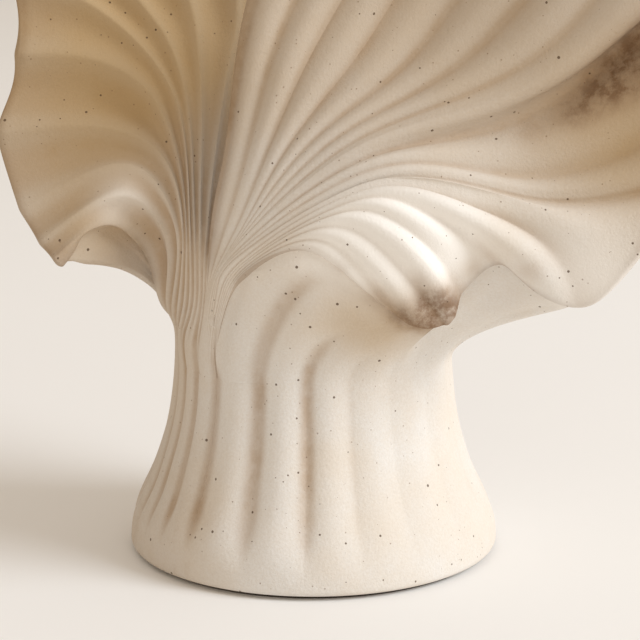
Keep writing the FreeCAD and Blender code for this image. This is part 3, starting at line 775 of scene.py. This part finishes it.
def leaf_bmesh(form, leaf, n_u, n_v, joined):
    """Leaf whose side edge at u = joined is luted to the back leaf."""
    front, back, creases, up = [], [], [], []
    across = [[], []]
    for u in spread(n_u):
        fs, bs, cs = [], [], []
        for v in spread(n_v):
            f, b, n, du, dv, deep = leaf.faces(u, v)
            fs.append(uneven(f, n, form.hand))
            bs.append(uneven(b, n, form.hand))
            cs.append(deep)
            if u in (0.0, 1.0):
                across[int(u)].append(off_edge(du if u else -du, n))
        front.append(fs)
        back.append(bs)
        creases.append(cs)
        up.append(off_edge(dv, n))
    beads = [joined_bead_share if u == joined else 1.0 for u in (0.0, 1.0)]
    sides = [[bead * passed(v, side_free_shares) for v in spread(n_v)] for bead in beads]
    tops = [mix(joined_bead_share, 1.0, passed(u, leaf.free)) for u in spread(n_u)]
    return rounded_bmesh(form, front, back, creases, across, up, sides, tops)


def back_bmesh(form, n_u, n_v):
    leaf = BackLeaf(form)
    across, ups = spread(n_u), spread(n_v)
    front, creases = leaf.grid(across, ups, 0.0)
    back, _ = leaf.grid(across, ups, form.wall)
    for i in range(n_u):
        for j in range(n_v):
            n = (front[i][j] - back[i][j]).normalized()
            front[i][j] = uneven(front[i][j], n, form.hand)
            back[i][j] = uneven(back[i][j], n, form.hand)
    up = [(row[-1] - row[-2]).normalized() for row in front]
    free = [ease(u * leaf.last - leaf.right_end) * ease(leaf.left_start - u * leaf.last) for u in across]
    off_sides = [[Vector((0.0, 0.0, 0.0))] * n_v] * 2
    return rounded_bmesh(form, front, back, creases, off_sides, up, [[0.0] * n_v] * 2, free)


def stem_bmesh(form, n_u, n_v):
    """Fluted tube with a rounded foot, open inside."""
    sections, depths, rims = [], [], []
    tall = form.waist_z - form.foot_z
    round_r = foot_round_share * form.foot_wall
    below = root_skirt_share * form.wall
    for u in spread(n_u):
        angle = back_angles[0] + 360.0 * u
        section, depth = [], [0.0] * foot_steps
        for k in range(foot_steps):
            turn = math.pi / 2.0 * k / foot_steps
            z = form.foot_z + round_r * (1.0 - math.cos(turn))
            section.append(ring(angle, form.stem_radius(z) - round_r * (1.0 - math.sin(turn)), z))
        for v in spread(n_v):
            z = form.foot_z + round_r + (tall - round_r) * v
            part = form.stem_part(z)
            high = form.stem_flute(angle) * ease(part / stem_rise_share)
            high *= 1.0 + stem_swell_share * part * (1.0 - part)
            p = ring(angle, form.stem_radius(z) + high, z)
            amount = form.hand * ease((z - form.foot_z) / form.wall)
            section.append(uneven(p, ring(angle, 1.0, 0.0), amount))
            _, share, crease_depth = form.stem_crease(angle)
            depth.append((0.5 - share) * crease_depth * ease(part / stem_rise_share))
        top = section[-1]
        section.append(top + ring(angle, -below, 0.5 * below))
        for v in reversed(spread(n_v)):
            z = form.foot_z + tall * v
            section.append(ring(angle, form.bore_radius(z), z))
        sections.append(section)
        depths.append(depth + depth[-1:] + [0.0] * n_v)
        rims.append([0.0] * len(section))
    sections[-1] = [p.copy() for p in sections[0]]
    return sheet_bmesh(form, sections, depths, rims)


class Nodes:
    """Short way to lay out a material's nodes."""

    def __init__(self, name):
        self.material = bpy.data.materials.new(name)
        self.material.use_nodes = True
        self.tree = self.material.node_tree
        self.shader = self.tree.nodes["Principled BSDF"]
        self.object = self.add("ShaderNodeTexCoord").outputs["Object"]

    def add(self, kind, **values):
        node = self.tree.nodes.new(kind)
        for name, value in values.items():
            setattr(node, name, value)
        return node

    def give(self, value, socket):
        """Links a value from another node, or sets a plain one."""
        if isinstance(value, bpy.types.NodeSocket):
            self.tree.links.new(value, socket)
        else:
            socket.default_value = value

    def fill(self, node, **inputs):
        for name, value in inputs.items():
            self.give(value, node.inputs[name.replace("_", " ")])
        return node

    def noise(self, scale, detail, roughness):
        node = self.fill(self.add("ShaderNodeTexNoise"), Vector=self.object, Scale=scale, Detail=detail,
                         Roughness=roughness)
        return node.outputs["Fac"]

    def attribute(self, name):
        return self.add("ShaderNodeAttribute", attribute_name=name).outputs["Fac"]

    def mottle(self, name):
        grain, detail, roughness, low, high = mottles[name]
        return self.ramp(self.noise(grain, detail, roughness), low, high)

    def ramp(self, value, low, high, to_low=0.0, to_high=1.0):
        node = self.fill(self.add("ShaderNodeMapRange", interpolation_type="SMOOTHSTEP"), Value=value)
        self.fill(node, From_Min=low, From_Max=high, To_Min=to_low, To_Max=to_high)
        return node.outputs["Result"]

    def maths(self, kind, a, b):
        node = self.add("ShaderNodeMath", operation=kind)
        for socket, value in zip(node.inputs, (a, b)):
            self.give(value, socket)
        return node.outputs[0]

    def times(self, a, b):
        return self.maths("MULTIPLY", a, b)

    def at_least(self, least, value):
        """Value from 0 to 1 brought up to between the least and 1."""
        return self.maths("ADD", least, self.times(value, 1.0 - least))

    def blend(self, part, a, b):
        """Colour a turned to b where part is one."""
        node = self.add("ShaderNodeMix", data_type="RGBA")
        for place, value in zip(mix_sockets, (part, a, b)):
            self.give(value, node.inputs[place])
        return node.outputs[mix_result]

    def dots(self, cell, size, share):
        """Round specks: a share of the cells hold one, each of its own size."""
        cells = self.fill(self.add("ShaderNodeTexVoronoi"), Vector=self.object, Scale=1.0 / cell)
        pick = self.fill(self.add("ShaderNodeSeparateColor"), Color=cells.outputs["Color"])
        empty = 1.0 - share
        there = self.ramp(pick.outputs["Red"], empty - speck_soft_share, empty + speck_soft_share)
        reach = self.times(pick.outputs["Green"], size / cell)
        inside = self.maths("LESS_THAN", cells.outputs["Distance"], reach)
        return self.times(there, inside)

    def rough(self, height, strength):
        """Gives the surface its pits."""
        bump = self.fill(self.add("ShaderNodeBump"), Height=height, Strength=strength, Distance=pit_depth)
        self.fill(self.shader, Normal=bump.outputs["Normal"])


def rgba(colour):
    return (*colour, 1.0)


def stoneware_material():
    """Unglazed clay: warm pale body, iron specks, iron brown along the rims, ochre in the creases that is
    partly painted shade, iron stains that are partly painted shade, painted shade on the left side, the
    upper fan and under the rims, and painted highlights on the droop.
    """
    if clay_name in bpy.data.materials:
        return bpy.data.materials[clay_name]
    colours = bpy.context.scene.fan_vase_colours
    m = Nodes(clay_name)
    grain = m.mottle("sand")
    where = m.fill(m.add("ShaderNodeSeparateXYZ"), Vector=m.object).outputs
    # Painted shade: the left side, turned away from the light, darker and browner; the same ramp keeps the
    # foot's ochre bloom to the left
    left = m.ramp(where["X"], *left_painted_shade_places)
    foot = m.times(m.ramp(where["Z"], *foot_bloom_heights, 1.0, 0.0), left)
    broken = m.at_least(patch_least, m.mottle("patch"))
    stain_and_shade = m.attribute("stain_and_shade")
    blotch = m.at_least(blotch_least, m.mottle("blotch"))
    # Tones over each other: how strongly each covers, where it shows, and its colour
    tones = (
        (0.22, grain, colours.clay_sand),
        (0.35, m.times(foot, m.mottle("bloom")), colours.ochre_and_shade),
        # Painted shade: the upper fan darker and browner
        (0.55, m.ramp(where["Z"], *upper_painted_shade_heights), colours.painted_shade_tan),
        # Painted shade on the left side, away from the light
        (0.4, left, colours.painted_shade_tan),
        # Ochre in the creases, partly real and partly painted shade
        (0.62, m.times(m.ramp(m.attribute("crease"), *crease_limits), broken), colours.ochre_and_shade),
        (0.5, m.times(m.ramp(m.attribute("rim"), *rim_limits), broken), colours.iron),
        # Painted shade under the rims, inside the fan and on the left leaf
        (0.6, m.attribute("painted_shade"), colours.painted_shade_honey),
        # Painted highlight on the backs of the droop and on the left leaf
        (0.85, m.attribute("painted_highlight"), colours.painted_highlight_clay),
        # Iron stains, halo and core, partly painted shade in the deep fold and round the droop's tip
        (0.65, m.times(m.ramp(stain_and_shade, *halo_limits), broken), colours.ochre_and_shade),
        (0.82, m.times(m.ramp(stain_and_shade, *core_limits), blotch), colours.iron),
        (0.55, m.dots(*fine_specks), colours.iron),
        (0.85, m.dots(*large_specks), colours.speck),
    )
    colour = m.blend(m.mottle("cloud"), rgba(colours.clay_light), rgba(colours.clay_warm))
    for covers, shows, over in tones:
        colour = m.blend(m.times(shows, covers), colour, rgba(over))
    m.fill(m.shader, Base_Color=colour, Roughness=m.ramp(grain, 0.0, 1.0, *clay_roughness),
           Specular_IOR_Level=clay_gloss)
    hollows = m.times(m.noise(hollow_grain, 3.0, 0.6), hollow_part)
    m.rough(m.maths("ADD", m.noise(pit_grain, 3.0, 0.65), hollows), 0.5)
    return m.material


def felt_material():
    """Dark pressed felt with a short nap."""
    colours = bpy.context.scene.fan_vase_colours
    m = Nodes("pressed_felt")
    nap = m.noise(nap_grain, 4.0, 0.75)
    colour = m.blend(m.ramp(nap, 0.35, 0.65), rgba(colours.felt), rgba(colours.felt * 1.6))
    m.fill(m.shader, Base_Color=colour, Roughness=0.97, Sheen_Weight=0.4)
    m.rough(nap, 0.6)
    return m.material


def floor_material():
    colours = bpy.context.scene.fan_vase_colours
    m = Nodes("pale_table")
    colour = m.blend(m.times(m.mottle("table"), 0.12), rgba(colours.table), rgba(colours.table * 0.93))
    m.fill(m.shader, Base_Color=colour, Roughness=0.8, Specular_IOR_Level=0.2)
    return m.material


def length_property(name, description, default):
    return FloatProperty(name=name, description=description, default=default, unit="LENGTH")


class FanVaseSizes(PropertyGroup):
    height: length_property("Height", "Table to the top of the fan", 0.240)
    fan_width: length_property("Fan width", "Fan, tip to tip", 0.206)
    fan_depth: length_property("Fan depth", "Drooping front rim to the back leaf's outside", 0.078)
    waist_height: length_property("Waist height", "Height of the narrowest place", stem_high.z)
    waist_radius: length_property("Waist radius", "Outside radius at the waist", 0.040)
    foot_radius: length_property("Foot radius", "Outside radius at the table", 0.055)
    wall: length_property("Wall", "Thickness of the leaves", 0.0045)
    foot_wall: length_property("Foot wall", "Thickness of the stem at the table", 0.008)
    pad_thickness: length_property("Pad thickness", "Felt under the foot", pad_high.z)
    hand: length_property("Unevenness", "How far the clay strays from the even form", 0.00035)
    relief: FloatProperty(name="Relief", description="Depth of the flutes, one as in the solids",
                          default=1.0, subtype="FACTOR")
    rows: IntProperty(name="Rows", description="Rows of mesh up a leaf", default=150)


def colour_property(name, description, default):
    return FloatVectorProperty(name=name, description=description, default=default, size=3,
                               subtype="COLOR", min=0.0, max=1.0)


class FanVaseColours(PropertyGroup):
    clay_light: colour_property("Clay", "Pale body of the clay", (0.80, 0.77, 0.725))
    clay_warm: colour_property("Warm clay", "Warmer clouds in the body", (0.78, 0.71, 0.62))
    # Colour of the painted highlights
    painted_highlight_clay: colour_property("Worn clay", "Palest clay, on the backs of the droop", (0.95, 0.91, 0.85))
    # Colour of the painted shade on the upper fan and on the left side
    painted_shade_tan: colour_property("Upper clay", "Tan of the upper fan", (0.40, 0.28, 0.155))
    # Colour of the painted shade under the rims and inside the fan
    painted_shade_honey: colour_property("Honey", "Warm haze under the rims and inside the fan", (0.50, 0.33, 0.14))
    clay_sand: colour_property("Sand", "Darker grains of the body", (0.62, 0.51, 0.38))
    # Real iron bloom near the foot; in the creases and round the stains it is partly painted shade
    ochre_and_shade: colour_property("Ochre", "Iron bloom in creases and near the foot", (0.38, 0.235, 0.115))
    iron: colour_property("Iron", "Iron brown of rims and small specks", (0.19, 0.10, 0.045))
    speck: colour_property("Speck", "Large iron specks", (0.10, 0.058, 0.03))
    felt: colour_property("Felt", "Pad under the foot", (0.045, 0.032, 0.024))
    table: colour_property("Table", "Pale table and backdrop", (0.90, 0.885, 0.86))


class StemOperator(Operator):
    """Builds the fluted stem and foot"""
    bl_idname = "fan_vase.stem"
    bl_label = "Stem"

    def execute(self, context):
        form = Form(context.scene.fan_vase_sizes)
        bm = stem_bmesh(form, stem_columns, stem_rows)
        finish_piece(bm, "fluted_stem", "stoneware", stoneware_material(), "stem")
        return {"FINISHED"}


class LeavesOperator(Operator):
    """Builds the wide front leaf with its drooping rim and the narrow channelled left leaf"""
    bl_idname = "fan_vase.leaves"
    bl_label = "Front and left leaves"

    def execute(self, context):
        form = Form(context.scene.fan_vase_sizes)
        rows = context.scene.fan_vase_sizes.rows
        for leaf, columns, joined, name, node in (
                (form.front_leaf, front_columns, 1.0, "pleated_front_leaf", "front_leaf"),
                (form.left_leaf, left_columns, 0.0, "channelled_left_leaf", "left_leaf")):
            bm = leaf_bmesh(form, leaf, columns, rows, joined)
            finish_piece(bm, name, "stoneware", stoneware_material(), node)
        return {"FINISHED"}


class BackLeafOperator(Operator):
    """Builds the outer wall of the fan"""
    bl_idname = "fan_vase.back_leaf"
    bl_label = "Back leaf"

    def execute(self, context):
        form = Form(context.scene.fan_vase_sizes)
        bm = back_bmesh(form, back_columns, back_rows)
        finish_piece(bm, "outer_back_leaf", "stoneware", stoneware_material(), "back_leaf")
        return {"FINISHED"}


class FloorAndPadOperator(Operator):
    """Gives the clay slab inside the foot and the pad under it their finishes"""
    bl_idname = "fan_vase.slab_and_pad"
    bl_label = "Slab and pad"

    def execute(self, context):
        for node, material in (("floor_slab", stoneware_material()), ("felt_pad", felt_material())):
            materials = frame["nodes"][node].data.materials
            materials.clear()
            materials.append(material)
        return {"FINISHED"}


class StageOperator(Operator):
    """Lays the pale table, the studio light and the camera"""
    bl_idname = "fan_vase.stage"
    bl_label = "Stage"

    def execute(self, context):
        bm = bmesh.new()
        bmesh.ops.create_grid(bm, x_segments=1, y_segments=1, size=table_half)
        table = add_mesh(bm, "table", floor_material())
        context.scene.view_settings.view_transform = "Standard"
        world = bpy.data.worlds.new("studio")
        context.scene.world = world
        world.use_nodes = True
        sky = world.node_tree.nodes["Background"]
        sky.inputs["Color"].default_value = rgba(sky_colour)
        sky.inputs["Strength"].default_value = sky_strength
        light = bpy.data.lights.new("key", "AREA")
        light.shape = "DISK"
        light.size = light_size
        light.energy = light_power
        light.color = light_colour
        lamp = add_object("key", light)
        lamp.location = light_place
        toward = Vector(light_target) - lamp.location
        lamp.rotation_euler = toward.to_track_quat("-Z", "Y").to_euler()
        camera = bpy.data.cameras.new("camera")
        camera.sensor_width = camera_sensor
        camera.lens = camera_lens
        viewer = add_object("camera", camera)
        tilt = math.radians(camera_elevation)
        back = Vector((0.0, -math.cos(tilt), math.sin(tilt)))
        viewer.location = Vector(camera_target) + back * camera_distance
        viewer.rotation_euler = (-back).to_track_quat("-Z", "Y").to_euler()
        context.scene.camera = viewer
        return {"FINISHED"}


class FanVasePanel(Panel):
    bl_idname = "VIEW3D_PT_fan_vase"
    bl_label = "Fan Vase"
    bl_space_type = "VIEW_3D"
    bl_region_type = "UI"
    bl_category = "Fan Vase"

    def draw(self, context):
        for group in (context.scene.fan_vase_sizes, context.scene.fan_vase_colours):
            box = self.layout.box()
            for name in group.__class__.__annotations__:
                box.prop(group, name)
        for operator in operators:
            self.layout.operator(operator.bl_idname)


operators = (StemOperator, LeavesOperator, BackLeafOperator, FloorAndPadOperator, StageOperator)
classes = (FanVaseSizes, FanVaseColours) + operators + (FanVasePanel,)


def register():
    for each in classes:
        bpy.utils.register_class(each)
    bpy.types.Scene.fan_vase_sizes = PointerProperty(type=FanVaseSizes)
    bpy.types.Scene.fan_vase_colours = PointerProperty(type=FanVaseColours)


def unregister():
    del bpy.types.Scene.fan_vase_sizes
    del bpy.types.Scene.fan_vase_colours
    for each in reversed(classes):
        bpy.utils.unregister_class(each)


def main():
    register()
    bpy.ops.fan_vase.stem()
    bpy.ops.fan_vase.leaves()
    bpy.ops.fan_vase.back_leaf()
    bpy.ops.fan_vase.slab_and_pad()
    bpy.ops.fan_vase.stage()


if __name__ == "__main__":
    main()
